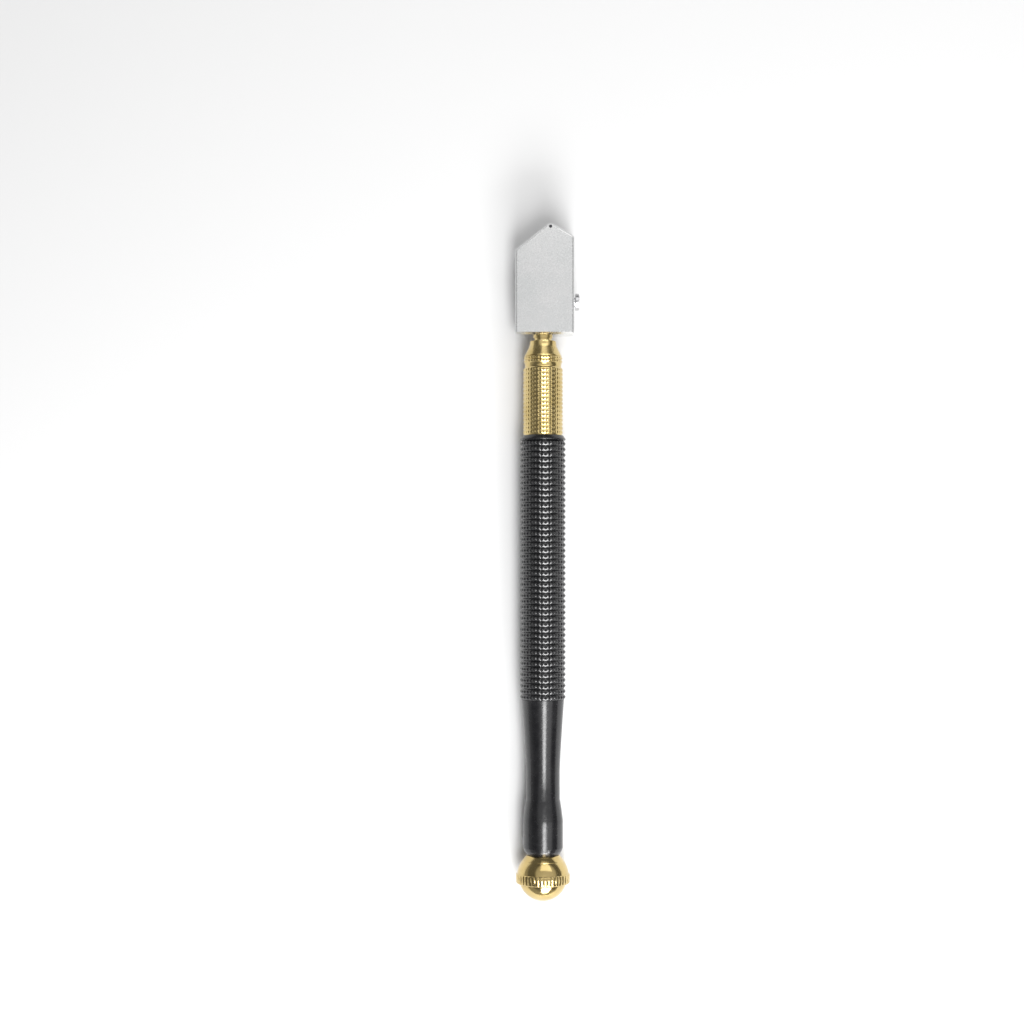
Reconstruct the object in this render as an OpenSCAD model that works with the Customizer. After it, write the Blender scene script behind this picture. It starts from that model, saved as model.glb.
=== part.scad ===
// Oil-fed glass cutter: a swivelling cutting head on a sprung hollow stem, a brass
// front ferrule with an oil valve, a knurled reservoir barrel and a screw-in ball cap.
// Every piece is drawn standing on its ball end, with heights counted from there up to
// the cutting edge, and is then laid flat: +Y towards the cutting edge, +X towards the
// head screw, +Z out of the upper wide face of the head.

/* [Head] */
// Width of the head between its two straight sides
head_w = 15; // [13:0.5:18]
// Thickness of the head between its wide faces
head_t = 6; // [5:0.25:8]
// Height of the head from its flat bottom to its nose
head_h = 28.15; // [25:0.05:34]
// How far the head sits off the handle's axis, towards the screw
head_offset = 0.4; // [0:0.1:1]
// Drop from the nose to the shoulder on the plain side
plain_drop = 6.75; // [5:0.25:9]
// Drop from the nose to the shoulder on the screw side
screw_drop = 3.15; // [2:0.05:5]
// Width of the small flat on the nose
nose_flat = 1; // [0.6:0.1:1.6]
// Chamfer along the edges of the wide faces
head_edge = 0.4; // [0.2:0.05:0.6]

/* [Cutting wheel] */
// Radius of the wheel, out to its cutting edge
wheel_r = 1.25; // [1.1:0.05:1.6]
// Thickness of the wheel
wheel_t = 0.9; // [0.7:0.05:1.2]
// How far the cutting edge stands out of the nose
wheel_proud = 0.45; // [0.3:0.05:0.6]
// Distance of the wheel's centre from the handle's axis
wheel_x = 1.9; // [0:0.1:3]
// Radius of the wheel's axle
axle_r = 0.38; // [0.3:0.02:0.48]

/* [Head screw] */
// Radius of the screw's thread
screw_r = 1.25; // [1:0.05:1.6]
// Radius of the screw's head
screw_head_r = 2.15; // [1.8:0.05:2.6]
// Thickness of the screw's head
screw_head_t = 1; // [0.8:0.1:1.5]
// Height of the screw above the head's bottom
screw_up = 8.5; // [5:0.25:11]
// Shank that shows between the head's side and the screw's head
screw_gap = 0.37; // [0.2:0.01:0.6]

/* [Stem] */
// Radius of the stem where it slides in the ferrule
stem_r = 2.2; // [1.9:0.05:2.6]
// Height of the spigot that the head swivels on
spigot_l = 14; // [12:0.5:16]
// Thickness of the shoulder under the head
shoulder_t = 0.8; // [0.6:0.1:1.2]
// Travel of the stem when the cutter is pressed on the glass
press_stroke = 0.6; // [0.3:0.05:1]
// Radius of the oil bore through the stem
oil_bore_r = 0.9; // [0.7:0.05:1.1]
// Swivel of the head each way, in degrees
swivel = 15; // [5:1:20]

/* [Oil valve] */
// Length of the compressed spring at rest
spring_l = 11; // [9:0.25:14]
// Thickness of the spring's wire
wire_d = 0.45; // [0.35:0.05:0.6]
// Number of turns of the spring
spring_turns = 8; // [6:1:10]
// Thickness of the valve seat
seat_t = 3; // [2:0.25:4]
// Radius of the hole through the valve seat
seat_hole_r = 1.25; // [1.1:0.05:1.5]
// Thickness of the poppet's rubber seal
seal_t = 0.7; // [0.5:0.05:1]

/* [Front ferrule] */
// Length of the brass ferrule that shows
ferrule_l = 24.1; // [20:0.1:30]
// Radius over the ferrule's knurl
ferrule_r = 5.09; // [4.6:0.01:5.6]
// Length of the threaded spigot inside the barrel
thread_l = 10; // [8:0.5:14]
// Wall of the threaded spigot round the valve
thread_wall = 1.2; // [1:0.05:1.4]

/* [Barrel] */
// Length of the black barrel
barrel_l = 107; // [89:1:130]
// Radius over the grip's knurl
barrel_r = 5.8; // [5.4:0.05:6.9]
// Radius of the waist behind the grip
waist_r = 4.3; // [4.1:0.05:4.8]
// Radius of the plain skirt at the rear
skirt_r = 5.11; // [4.9:0.01:6]
// Radius of the oil reservoir's bore
reservoir_r = 3.25; // [2.7:0.05:3.6]

/* [Ball cap] */
// Radius of the ball's lower half
ball_r = 6.25; // [5.9:0.05:7.5]
// Height of the knurled band round the ball
band_h = 2.6; // [2:0.1:3.5]
// Length of the cap's threaded spigot
cap_thread_l = 7; // [5:0.5:9]

/* [Hidden] */
$fn = 64;
over = 1;             // how far a cutting tool passes the surface that it cuts
lap = 0.1;            // how far joined shapes reach into each other

// Clearances
slide_gap = 0.05;     // between a sliding or turning shaft and its hole, on the radius
fine_gap = 0.03;      // the same on the small pins
thread_gap = 0.05;    // between a male and a female thread, on the radius
press_gap = 0.02;     // between two pieces that are pressed together, on the radius
rest_gap = 0.02;      // between faces that only meet at the end of the travel
wall_min = 0.5;       // least wall that a lip keeps outside a gland

// Colours
satin_nickel = [0.80, 0.80, 0.80];
brass = [0.80, 0.65, 0.32];
black_plate = [0.10, 0.10, 0.11];
steel = [0.62, 0.63, 0.65];
carbide = [0.40, 0.41, 0.43];
rubber = [0.06, 0.06, 0.06];
felt = [0.93, 0.90, 0.82];

// Ball cap, seen from the ball's centre
cap_bulge = 0.45;     // how much larger the ball's upper half is
band_proud = 0.65;    // how far the knurled band stands out of the lower half
band_share = 0.63;    // share of the band's height that lies below the ball's centre
collar_step = 0.93;   // how much slimmer the collar is than the ball
collar_h = 1.48;
band_r = ball_r + band_proud;
band_low = ball_r - band_h * band_share;
collar_r = ball_r - collar_step;
upper_r = ball_r + cap_bulge;
collar_low = ball_r + sqrt(pow(upper_r, 2) - pow(collar_r, 2));
cap_l = collar_low + collar_h;

// Heights of the main faces
stroke_spare = 0.1;   // what is left between ferrule and shoulder at the stem's full travel
barrel_low = cap_l;
ferrule_low = barrel_low + barrel_l;
nose_z = ferrule_low + ferrule_l;
shoulder_z = nose_z + press_stroke + stroke_spare;
head_low = shoulder_z + shoulder_t;
head_top = head_low + head_h;
total_l = head_top + wheel_proud;

// Head
wheel_side_gap = 0.1; // between the wheel and each side of its slot
wheel_end_gap = 0.3;  // between the wheel and the floor of its slot
spigot_step = 0.2;    // how much slimmer the spigot is than the stem
bore_end_gap = 0.15;  // between the spigot's end and the end of its bore
felt_r = 0.85;
plain_x = head_offset - head_w / 2;
screw_x = head_offset + head_w / 2;
wheel_z = total_l - wheel_r;
slot_w = wheel_t + 2 * wheel_side_gap;
slot_floor = wheel_z - wheel_r - wheel_end_gap;
spigot_r = stem_r - spigot_step;
head_bore_r = spigot_r + slide_gap;
head_bore_top = head_low + spigot_l + bore_end_gap;
channel_lean = atan2(wheel_x, slot_floor - head_bore_top);
foot_wall = 0.1;      // what the bevels along the bottom leave round the stem's bore
foot_share = 0.65;    // their height as a share of their depth
foot_t = max(head_edge / 2, head_t / 2 - head_bore_r - foot_wall);
foot_h = foot_t * foot_share;
head_outline = [
    [plain_x, head_low],
    [screw_x, head_low],
    [screw_x, head_top - screw_drop],
    [wheel_x + nose_flat / 2, head_top],
    [wheel_x - nose_flat / 2, head_top],
    [plain_x, head_top - plain_drop]
];

// Screw, with a pin at its tip that runs in a pocket of the stem
screw_z = head_low + screw_up;
pin_share = 0.48;     // the pin's radius as a share of the screw's
pocket_deep = 0.55;   // depth of the pocket into the spigot
pin_gap = 0.1;        // between the pin and its pocket
stop_spare = 1;       // degrees that the pocket leaves beyond the swivel
screw_out = screw_x + screw_gap + screw_head_t;
pin_r = screw_r * pin_share;
pocket_r = spigot_r - pocket_deep;
pin_end = pocket_r + pin_gap;
pocket_h = 2 * (pin_r + pin_gap);
pocket_half = swivel + asin(pin_r / pin_end) + stop_spare;

// Stem, spring and valve, from the nose down
shoulder_step = 0.25; // how far the shoulder stands out of the stem
flange_step = 0.45;   // how far the flange that the spring pushes stands out of it
flange_t = 1;
guide_l = 6;          // length of the hole that guides the stem
coil_gap = 0.175;     // between the spring and its chamber
tail_gap = 0.35;      // between the spring and the stem's tail
tail_spare = 0.5;     // what is left under the tail at the stem's full travel
shaft_grip = 2.5;     // how far the poppet's shaft reaches into the stem
cross_r = 0.5;
cross_up = 1.5;       // from the poppet's shaft to the cross hole
poppet_t = 1;
poppet_gap = 0.6;     // for oil to pass between the poppet and the chamber
seal_rim = 0.1;       // rim of the poppet round its seal
stem_ring_drop = 2.9; // from the ferrule's nose down to the stem's seal
stem_ring_w = 0.62;
shoulder_r = stem_r + shoulder_step;
flange_r = stem_r + flange_step;
flange_top = nose_z - guide_l - rest_gap;
flange_low = flange_top - flange_t;
chamber_r = flange_r + slide_gap;
wire_r = wire_d / 2;
coil_r = chamber_r - coil_gap - wire_r;
tail_r = coil_r - wire_r - tail_gap;
seat_top = flange_low - spring_l;
seat_low = seat_top - seat_t;
tail_low = seat_top + press_stroke + tail_spare;
shaft_r = oil_bore_r - press_gap;
shaft_top = tail_low + shaft_grip;
cross_z = shaft_top + cross_up;
seal_top = seat_low - rest_gap;
poppet_top = seal_top - seal_t;
poppet_r = chamber_r - poppet_gap;
seal_r = poppet_r - seal_rim;
stem_ring_z = nose_z - stem_ring_drop;

// Ferrule
nose_wall = 1.18;     // wall of the ferrule's nose round the stem
nose_l = 1.25;
nose_bevel = 0.15;
cone_l = 2.45;
rim_step = 0.37;      // how much slimmer the cone's rim is than the knurl
rim_l = 0.35;
bead_step = 0.13;     // how much slimmer the two bead rows are
bead_pitch = 0.825;
cove_l = 1.3;
cove_dip = 0.18;
fine_pitch = 1.09;
fine_depth = 0.17;
ring_w = 0.72;        // thickness of the seal between ferrule and barrel
ring_spare = 0.03;    // what its gland leaves round it
seat_wall = 0.2;      // least width of the ferrule's seat outside the gland
rear_seat_l = 0.2;
thread_r = chamber_r + thread_wall;
nose_r = stem_r + nose_wall;
rim_r = ferrule_r - rim_step;
bead_r = ferrule_r - bead_step;
cone_top = nose_z - nose_l;
cone_low = cone_top - cone_l;
bead_top = cone_low - rim_l;
bead_low = bead_top - 2 * bead_pitch;
fine_top = bead_low - cove_l;
gland_w = ring_w + ring_spare;
gland_r = thread_r + gland_w;
fine_r = ferrule_r - fine_depth;
rear_seat_r = max(fine_r, gland_r + seat_wall);

// Barrel
collar_l = 1.4;       // plain collar in front of the grip
lip_l = 0.9;
flank_l = 18.4;       // from the grip down to the waist
flank_bend = 1.2;
flank_step = 0.4;     // how much slimmer the flank is than the grip
waist_l = 7;
flare_rear_l = 5.4;   // from the waist down to the skirt
flare_bend = 0.8;
skirt_l = 6.9;
bevel_l = [1.1, 0.8];
bevel_step = 0.26;    // how much the upper of the skirt's two bevels takes off
rear_thread_step = 0.2;
rear_wall = 0.7;      // wall of the barrel's rear rim
bore_run = 0.5;       // how far a threaded bore runs on past its spigot
grip_pitch = 1.435;
grip_depth = 0.48;
lip_r = gland_r + wall_min;
rear_thread_r = reservoir_r + rear_thread_step;
rear_bore_r = rear_thread_r + thread_gap;
rear_r = rear_bore_r + rear_wall;
skirt_low = barrel_low + bevel_l[0] + bevel_l[1];
flare_low = skirt_low + skirt_l;
waist_low = flare_low + flare_rear_l;
flank_low = waist_low + waist_l;
grip_low = flank_low + flank_l;
grip_top = ferrule_low - collar_l;
flank_r = barrel_r - flank_step;

// Rear seal
cap_ring_w = 0.86;
cap_ring_r = rear_bore_r - press_gap - cap_ring_w / 2;
undercut_r = cap_ring_r - cap_ring_w / 2 - press_gap;
undercut_spare = 0.1; // what the undercut leaves beside its seal
undercut_l = cap_ring_w + undercut_spare;

// Where the handle's axis lies once the cutter is laid flat
axis_x = -(screw_out + plain_x) / 2;
axis_z = band_r;

// Lays an upright piece flat, in its place
module laid() {
    translate([axis_x, -total_l / 2, axis_z])
        rotate([-90, 0, 0])
            children();
}

// A round bar or a round cutter between two heights
module bar(r, low, high) {
    translate([0, 0, low])
        cylinder(r = r, h = high - low);
}

// A ring of round section, such as a rubber seal
module round_ring(r, section_r, z) {
    translate([0, 0, z])
        rotate_extrude()
            translate([r, 0])
                circle(r = section_r);
}

// One side of a row of ribs between two heights: each rib has sloping sides and a land
function ribs(low, high, pitch, crest, depth) =
    let (
        slope = 0.28,
        rows = max(1, round((high - low) / pitch)),
        step = (high - low) / rows
    )
    [
        for (i = [0 : rows - 1], p = [[0, depth], [slope, 0], [1 - slope, 0]])
            [crest - p[1], low + (i + p[0]) * step]
    ];

// A hollow between two heights, with its own radius at each end; its upper end is left
// for the shape that follows
function cove(low, high, low_r, high_r, dip, steps) =
    [
        for (i = [0 : steps - 1])
            let (part = i / steps)
            [
                low_r + (high_r - low_r) * part - 4 * dip * part * (1 - part),
                low + (high - low) * part
            ]
    ];

// The barrel's side from its waist to one end; bend sets how it swells
function swell(waist_z, end_z, end_r, bend, steps) =
    [
        for (i = [0 : steps])
            let (part = i / steps)
            [waist_r + (end_r - waist_r) * pow(part, bend), waist_z + (end_z - waist_z) * part]
    ];

function reversed(list) = [for (i = [len(list) - 1 : -1 : 0]) list[i]];

// Cutters for the bevels along one edge of the head's outline, on both wide faces: each
// takes off a height on the wide face and a depth on the narrow one
module edge_bevel(a, b, height, depth) {
    far = 2 * head_h;
    for (side = [-1, 1])
        translate([a[0], 0, a[1]])
            rotate([0, -atan2(b[1] - a[1], b[0] - a[0]), 0])
                rotate([90, 0, 90])
                    translate([0, 0, -far])
                        linear_extrude(height = 4 * far)
                            polygon([
                                [side * (head_t / 2 - 2 * depth), -height],
                                [side * (head_t / 2 + depth), -height],
                                [side * (head_t / 2 + depth), 2 * height]
                            ]);
}

// The path of the oil felt through the head, from the stem's bore up to the wheel's slot
module felt_path(r, below, above) {
    run = norm([wheel_x, slot_floor - head_bore_top]);
    translate([0, 0, head_bore_top])
        rotate([0, channel_lean, 0])
            translate([0, 0, -below])
                cylinder(r = r, h = run + below + above);
}

module head_body() {
    corners = len(head_outline);
    color(satin_nickel)
        laid()
            difference() {
                rotate([90, 0, 0])
                    linear_extrude(height = head_t, center = true)
                        polygon(head_outline);
                edge_bevel(head_outline[0], head_outline[1], foot_h, foot_t);
                for (i = [1 : corners - 1])
                    edge_bevel(head_outline[i], head_outline[(i + 1) % corners], head_edge, head_edge);
                bar(head_bore_r, head_low - over, head_bore_top);
                felt_path(felt_r + slide_gap, over / 2, over);
                // saw cut that holds the wheel
                translate([plain_x - over, -slot_w / 2, slot_floor])
                    cube([head_w + 2 * over, slot_w, head_h]);
                translate([wheel_x, 0, wheel_z])
                    rotate([90, 0, 0])
                        cylinder(r = axle_r + press_gap / 2, h = head_t + 2 * over, center = true);
                // tapped hole for the screw
                translate([0, 0, screw_z])
                    rotate([0, 90, 0])
                        cylinder(r = screw_r + fine_gap, h = screw_x + over);
            }
}

module cutting_wheel() {
    edge_share = 0.45; // height of the ground edge as a share of the wheel's thickness
    land_r = wheel_r - wheel_t * edge_share;
    color(carbide)
        laid()
            translate([wheel_x, 0, wheel_z])
                rotate([90, 0, 0])
                    difference() {
                        rotate_extrude()
                            polygon([
                                [0, -wheel_t / 2],
                                [land_r, -wheel_t / 2],
                                [wheel_r, 0],
                                [land_r, wheel_t / 2],
                                [0, wheel_t / 2]
                            ]);
                        cylinder(r = axle_r + fine_gap, h = wheel_t + over, center = true);
                    }
}

module wheel_axle() {
    sunk = 0.05;
    color(steel)
        laid()
            translate([wheel_x, 0, wheel_z])
                rotate([90, 0, 0])
                    cylinder(r = axle_r, h = head_t - 2 * sunk, center = true);
}

module head_screw() {
    shank_gap = 0.2;
    slot_t = 0.6;
    slot_share = 0.45;
    shank_low = head_bore_r + shank_gap;
    slot_deep = screw_head_t * slot_share;
    color(steel)
        laid()
            translate([0, 0, screw_z])
                rotate([0, 90, 0])
                    difference() {
                        union() {
                            bar(pin_r, pin_end, shank_low + lap);
                            bar(screw_r, shank_low, screw_x + screw_gap + lap);
                            bar(screw_head_r, screw_x + screw_gap, screw_out);
                        }
                        translate([-slot_t / 2, -screw_head_r - over, screw_out - slot_deep])
                            cube([slot_t, 2 * (screw_head_r + over), slot_deep + over]);
                    }
}

module oil_felt() {
    low_gap = 0.3;
    wheel_gap = 0.2;
    color(felt)
        laid()
            felt_path(felt_r, -low_gap, -wheel_gap);
}

module stem() {
    groove_gap = 0.1;
    groove_w = stem_ring_w + 2 * groove_gap;
    color(brass)
        laid()
            difference() {
                union() {
                    bar(spigot_r, head_low - lap, head_low + spigot_l);
                    bar(shoulder_r, shoulder_z, head_low);
                    bar(stem_r, flange_top - lap, shoulder_z + lap);
                    bar(flange_r, flange_low, flange_top);
                    bar(tail_r, tail_low, flange_low + lap);
                }
                bar(oil_bore_r, tail_low - over, head_low + spigot_l + over);
                // groove for the stem's seal
                difference() {
                    bar(stem_r + over, stem_ring_z - groove_w / 2, stem_ring_z + groove_w / 2);
                    bar(stem_r - stem_ring_w, stem_ring_z - groove_w, stem_ring_z + groove_w);
                }
                // pocket that stops the swivel
                translate([0, 0, screw_z - pocket_h / 2])
                    rotate([0, 0, -pocket_half])
                        rotate_extrude(angle = 2 * pocket_half)
                            translate([pocket_r, 0])
                                square([spigot_r - pocket_r + over, pocket_h]);
                // cross hole that lets oil reach the wick
                translate([0, 0, cross_z])
                    rotate([90, 0, 0])
                        cylinder(r = cross_r, h = 2 * tail_r + over, center = true);
            }
}

module stem_wick() {
    wick_gap = 0.1;
    end_gap = 0.3;
    color(felt)
        laid()
            bar(oil_bore_r - wick_gap, shaft_top + end_gap, head_low + spigot_l);
}

module stem_o_ring() {
    section_r = stem_ring_w / 2;
    color(rubber)
        laid()
            round_ring(stem_r + slide_gap - rest_gap - section_r, section_r, stem_ring_z);
}

module valve_spring() {
    sides = 6;
    per_turn = 14;
    low = seat_top + wire_r + rest_gap;
    rise = spring_l - wire_d - 2 * rest_gap;
    coil_gap_z = 0.05;
    end_rise = wire_d + coil_gap_z;
    free_rise = (rise - 2 * end_rise) / (spring_turns - 2);
    rings = spring_turns * per_turn;
    // height of the wire's centre after some turns: the first and last turns lie close
    function coil_z(turns) =
        low + min(turns, 1) * end_rise
        + max(0, min(turns - 1, spring_turns - 2)) * free_rise
        + max(0, turns - spring_turns + 1) * end_rise;
    points = [
        for (i = [0 : rings], k = [0 : sides - 1])
            let (
                turns = i / per_turn,
                r = coil_r + wire_r * cos(k * 360 / sides)
            )
            [
                r * cos(turns * 360),
                r * sin(turns * 360),
                coil_z(turns) + wire_r * sin(k * 360 / sides)
            ]
    ];
    walls = [
        for (i = [0 : rings - 1], k = [0 : sides - 1])
            let (a = i * sides, n = (k + 1) % sides)
            each [
                [a + k, a + sides + k, a + n],
                [a + n, a + sides + k, a + sides + n]
            ]
    ];
    first_end = [for (k = [0 : sides - 1]) k];
    last_end = [for (k = [sides - 1 : -1 : 0]) rings * sides + k];
    color(steel)
        laid()
            polyhedron(points = points, faces = concat([first_end], walls, [last_end]));
}

module valve_seat() {
    color(brass)
        laid()
            difference() {
                bar(chamber_r - press_gap, seat_low, seat_top);
                bar(seat_hole_r, seat_low - over, seat_top + over);
            }
}

module valve_poppet() {
    color(brass)
        laid() {
            bar(shaft_r, poppet_top - lap, shaft_top);
            bar(poppet_r, poppet_top - poppet_t, poppet_top);
        }
}

module poppet_seal() {
    color(rubber)
        laid()
            difference() {
                bar(seal_r, poppet_top, seal_top);
                bar(shaft_r + press_gap, poppet_top - over, seal_top + over);
            }
}

module front_ferrule() {
    rear = ferrule_low;
    cone_step = 0.08; // the nose is a little wider where it meets the cone
    color(brass)
        laid()
            difference() {
                union() {
                    rotate_extrude()
                        polygon(concat(
                            [[0, rear], [rear_seat_r, rear], [rear_seat_r, rear + rear_seat_l]],
                            ribs(rear + rear_seat_l, fine_top, fine_pitch, ferrule_r, fine_depth),
                            cove(fine_top, bead_low, fine_r, rim_r, cove_dip, 6),
                            ribs(bead_low, bead_top, bead_pitch, bead_r, bead_r - rim_r),
                            [
                                [rim_r, bead_top],
                                [rim_r, cone_low],
                                [nose_r + cone_step, cone_top],
                                [nose_r, nose_z - nose_bevel],
                                [nose_r - nose_bevel, nose_z],
                                [0, nose_z]
                            ]
                        ));
                    bar(thread_r, rear - thread_l, rear + lap);
                }
                bar(stem_r + slide_gap, nose_z - guide_l - over, nose_z + over);
                bar(chamber_r, rear - thread_l - over, nose_z - guide_l);
            }
}

module ferrule_o_ring() {
    section_r = ring_w / 2;
    color(rubber)
        laid()
            round_ring(thread_r + gland_w / 2, section_r, ferrule_low - gland_w / 2);
}

module grip_barrel() {
    color(black_plate)
        laid()
            difference() {
                rotate_extrude()
                    polygon(concat(
                        [
                            [0, barrel_low],
                            [rear_r, barrel_low],
                            [skirt_r - bevel_step, barrel_low + bevel_l[0]],
                            [skirt_r, skirt_low]
                        ],
                        reversed(swell(waist_low, flare_low, skirt_r, flare_bend, 6)),
                        swell(flank_low, grip_low, flank_r, flank_bend, 10),
                        ribs(grip_low, grip_top, grip_pitch, barrel_r, grip_depth),
                        [
                            [barrel_r, grip_top],
                            [barrel_r, ferrule_low - lip_l],
                            [lip_r, ferrule_low],
                            [0, ferrule_low]
                        ]
                    ));
                bar(reservoir_r, barrel_low - over, ferrule_low + over);
                bar(rear_bore_r, barrel_low - over, barrel_low + cap_thread_l + bore_run);
                bar(thread_r + thread_gap, ferrule_low - thread_l - bore_run, ferrule_low + over);
                bar(gland_r, ferrule_low - gland_w, ferrule_low + over);
            }
}

module ball_cap() {
    big = 2 * band_r;
    face = barrel_low - rest_gap;
    color(brass)
        laid()
            difference() {
                union() {
                    intersection() {
                        translate([0, 0, ball_r])
                            sphere(r = ball_r);
                        bar(big, 0, band_low + lap);
                    }
                    bar(band_r, band_low, band_low + band_h);
                    intersection() {
                        translate([0, 0, ball_r])
                            sphere(r = upper_r);
                        bar(big, band_low + band_h - lap, collar_low);
                    }
                    translate([0, 0, collar_low - lap / 2])
                        cylinder(r1 = collar_r + lap / 2, r2 = rear_r, h = face - collar_low + lap / 2);
                    bar(rear_thread_r, face - lap, face + cap_thread_l);
                }
                difference() {
                    bar(rear_thread_r + over, face, face + undercut_l);
                    bar(undercut_r, face - over, face + undercut_l + over);
                }
            }
}

module cap_o_ring() {
    color(rubber)
        laid()
            round_ring(cap_ring_r, cap_ring_w / 2, barrel_low + cap_ring_w / 2 + rest_gap);
}

head_body();
cutting_wheel();
wheel_axle();
head_screw();
oil_felt();
stem();
stem_wick();
stem_o_ring();
valve_spring();
valve_seat();
valve_poppet();
poppet_seal();
front_ferrule();
ferrule_o_ring();
grip_barrel();
ball_cap();
cap_o_ring();
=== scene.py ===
"""The looks of the oil-fed glass cutter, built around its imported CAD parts.

Lengths are in metres. The handle's axis runs along +Y towards the cutting edge, +X is the
head screw's side and +Z is up, out of the head's wide face.
"""

import math

import bpy
import numpy as np
from mathutils import Matrix, Vector


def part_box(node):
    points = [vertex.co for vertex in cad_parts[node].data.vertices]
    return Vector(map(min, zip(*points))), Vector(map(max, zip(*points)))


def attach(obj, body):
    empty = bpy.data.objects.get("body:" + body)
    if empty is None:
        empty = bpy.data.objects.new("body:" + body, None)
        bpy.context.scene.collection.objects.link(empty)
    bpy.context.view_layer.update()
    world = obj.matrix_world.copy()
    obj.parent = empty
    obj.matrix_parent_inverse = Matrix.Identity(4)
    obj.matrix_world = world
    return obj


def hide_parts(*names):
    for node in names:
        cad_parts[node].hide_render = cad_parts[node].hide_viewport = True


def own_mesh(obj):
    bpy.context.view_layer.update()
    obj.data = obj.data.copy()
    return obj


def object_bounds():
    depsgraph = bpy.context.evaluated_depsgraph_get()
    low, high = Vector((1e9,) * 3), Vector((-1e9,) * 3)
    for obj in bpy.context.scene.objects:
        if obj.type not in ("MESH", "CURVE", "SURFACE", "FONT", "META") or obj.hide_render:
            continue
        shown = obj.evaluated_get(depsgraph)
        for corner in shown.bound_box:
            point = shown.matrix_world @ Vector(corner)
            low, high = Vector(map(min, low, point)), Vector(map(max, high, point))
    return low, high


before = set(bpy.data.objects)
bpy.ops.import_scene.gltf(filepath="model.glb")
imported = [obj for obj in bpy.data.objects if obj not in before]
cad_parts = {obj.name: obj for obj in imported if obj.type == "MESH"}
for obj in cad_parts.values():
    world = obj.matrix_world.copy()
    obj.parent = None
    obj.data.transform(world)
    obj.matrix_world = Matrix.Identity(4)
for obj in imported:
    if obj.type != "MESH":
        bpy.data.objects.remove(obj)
CAD_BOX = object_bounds()

MM = 0.001
TURN = 2 * math.pi

# Edges that turn by more than this stay sharp: on most pieces, and on cut ones
SHARP = math.radians(35)
CUT_SHARP = math.radians(30)

# How far a cutter passes the surface that it opens
OVER = 1.0 * MM

# The radius at which a turned piece's flat end closes
TIP_R = 0.01 * MM


# ---------------------------------------------------------------- places from the frame

def middle(node):
    """The centre of a CAD node's box."""
    low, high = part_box(node)
    return (low + high) / 2


def size(node):
    """The size of a CAD node's box."""
    low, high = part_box(node)
    return high - low


AXIS = Vector((middle("grip_barrel").x, 0, middle("grip_barrel").z))
BALL_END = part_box("ball_cap")[0].y
CAP_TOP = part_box("ball_cap")[1].y
BARREL_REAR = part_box("grip_barrel")[0].y
BARREL_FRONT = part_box("grip_barrel")[1].y
FERRULE_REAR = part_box("front_ferrule")[0].y
FERRULE_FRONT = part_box("front_ferrule")[1].y
HEAD_LOW, HEAD_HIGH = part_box("head_body")
WHEEL = middle("cutting_wheel")
SCREW_LOW, SCREW_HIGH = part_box("head_screw")
SCREW = middle("head_screw")
AXLE_R = size("wheel_axle").x / 2
AXLE_HOLE_R = AXLE_R + 0.03 * MM
WHEEL_PLACE = Matrix.Translation(WHEEL) @ Matrix.Rotation(math.pi / 2, 4, "X")

BARREL_R = size("grip_barrel").x / 2
FERRULE_R = size("front_ferrule").x / 2
BAND_R = size("ball_cap").x / 2

# Fits that several pieces share
RESERVOIR_R = 3.25 * MM
CAP_BORE_R = 3.50 * MM
CAP_BORE_L = 7.5 * MM
CAP_THREAD_PITCH = 1.0 * MM
CAP_THREAD_DEPTH = 0.28 * MM
FERRULE_BORE_R = 3.95 * MM
FERRULE_BORE_L = 10.5 * MM
FERRULE_THREAD_PITCH = 0.75 * MM
FERRULE_THREAD_DEPTH = 0.20 * MM
THREAD_GAP = 0.05 * MM
SEAL_BORE_R = 4.65 * MM
SEAL_BORE_L = 0.75 * MM
REAR_FACE_R = 4.20 * MM

# The head's stem bore and its saw slot end here, and an oil way joins them
BORE_TOP = Vector((AXIS.x, HEAD_LOW.y + 14.15 * MM, AXIS.z))
SLOT_FLOOR = Vector((WHEEL.x, WHEEL.y - 1.55 * MM, AXIS.z))
OIL_WAY = (SLOT_FLOOR - BORE_TOP).normalized()


# ---------------------------------------------------------------- outlines

def rounded(points, radius, steps=3, closed=False, least=math.radians(12)):
    """The outline with each corner that turns by more than least drawn as an arc.

    The radius is one value, or a list with one value for each corner. An arc takes up
    no more than side_share of each side beside it.
    """
    side_share = 0.45
    count = len(points)
    result = []
    for i, point in enumerate(points):
        here = Vector(point)
        if not closed and i in (0, count - 1):
            result.append(tuple(here))
            continue
        back = Vector(points[i - 1]) - here
        ahead = Vector(points[(i + 1) % count]) - here
        corner = math.pi - back.angle(ahead)
        if corner < least:
            result.append(tuple(here))
            continue
        r = radius[i] if isinstance(radius, list) else radius
        reach = min(r * math.tan(corner / 2), side_share * back.length, side_share * ahead.length)
        start = here + back.normalized() * reach
        end = here + ahead.normalized() * reach
        r = reach / math.tan(corner / 2)
        inward = (back.normalized() + ahead.normalized()).normalized()
        centre = here + inward * math.hypot(r, reach)
        first = start - centre
        last = end - centre
        for k in range(steps + 1):
            part = k / steps
            spoke = math.sin((1 - part) * corner) * first + math.sin(part * corner) * last
            result.append(tuple(centre + spoke / math.sin(corner)))
    return result


def arc(centre_y, r, start_y, end_y, steps):
    """Points (y, radius) along a ball of radius r, between two places on the axis."""
    first = math.acos((centre_y - start_y) / r)
    last = math.acos((centre_y - end_y) / r)
    angles = [first + (last - first) * k / steps for k in range(steps + 1)]
    return [(centre_y - r * math.cos(a), r * math.sin(a)) for a in angles]


# ---------------------------------------------------------------- meshes

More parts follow.
